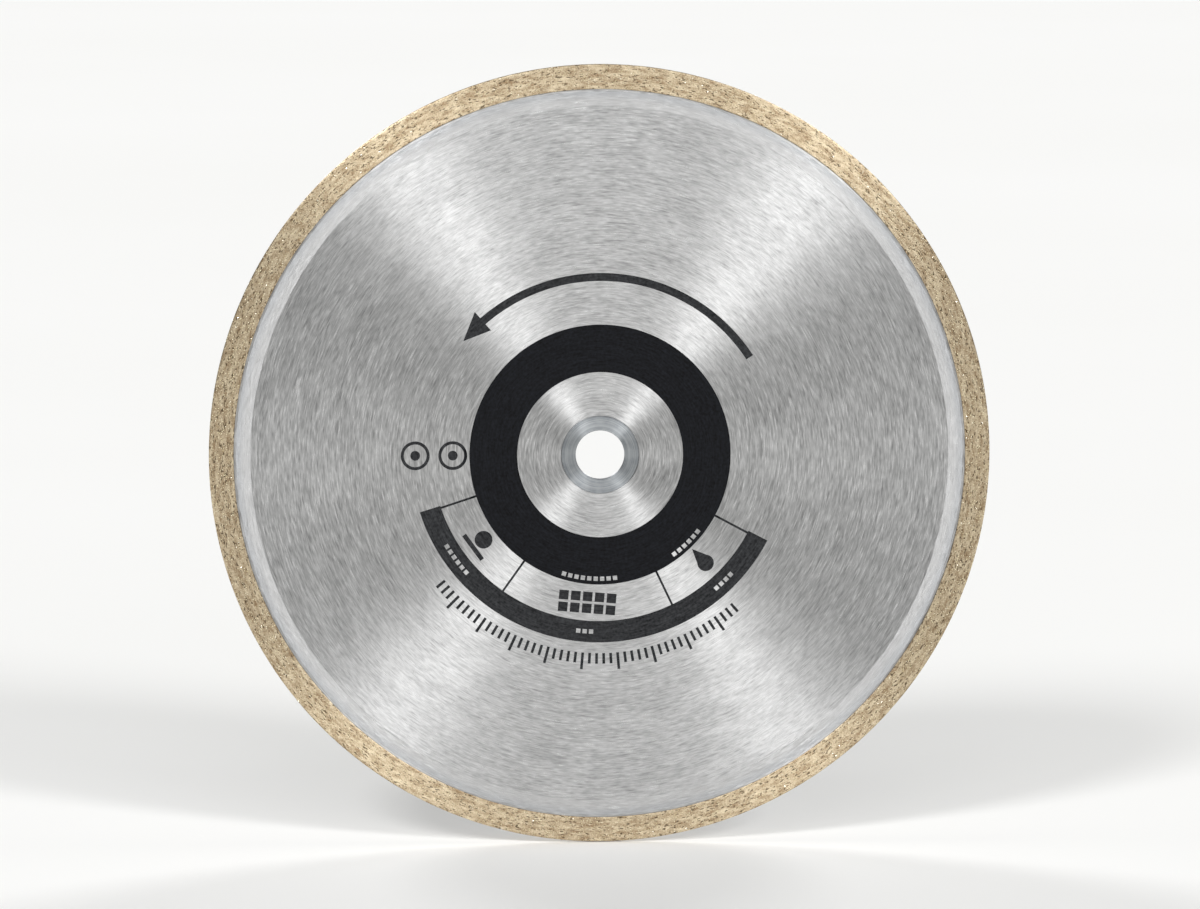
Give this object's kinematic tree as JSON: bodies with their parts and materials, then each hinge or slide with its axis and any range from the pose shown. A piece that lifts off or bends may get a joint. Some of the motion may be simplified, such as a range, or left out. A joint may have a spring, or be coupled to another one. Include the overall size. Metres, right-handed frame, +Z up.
{
  "type": "diamond blade",
  "caption": "Continuous-rim diamond blade for a wet tile saw: thin ground steel core, sintered abrasive rim, printed face and a push-out reducing bush in the bore.",
  "frame": {"origin": "on the blade's axis, in the middle of the core's thickness", "axes": "+Y along the blade's axis, away from the printed face, so the printed face looks towards -Y; +Z up as the blade stands on its spindle; +X to the right, seen from the printed face"},
  "size_m": [0.2543, 0.0024, 0.2543],
  "materials": {
    "core_steel": "ground in circles about the axis, satin",
    "rim_bronze": "sintered bronze, matte and speckled",
    "diamond": "pale yellow crystals, glossy facets",
    "black_ink": "screen printed ink, satin",
    "bush_steel": "turned, zinc plated"
  },
  "bodies": {
    "blade": {"steel_core": "core_steel", "diamond_rim": "rim_bronze", "diamond_grit": "diamond", "printed_face": "black_ink"},
    "bush": {"reducing_bush": "bush_steel"}
  },
  "joints": [
    {"name": "bush_slide", "type": "slide", "parent": "blade", "child": "bush", "axis": [0, -1, 0], "range_m": [0, 0.012]}
  ]
}
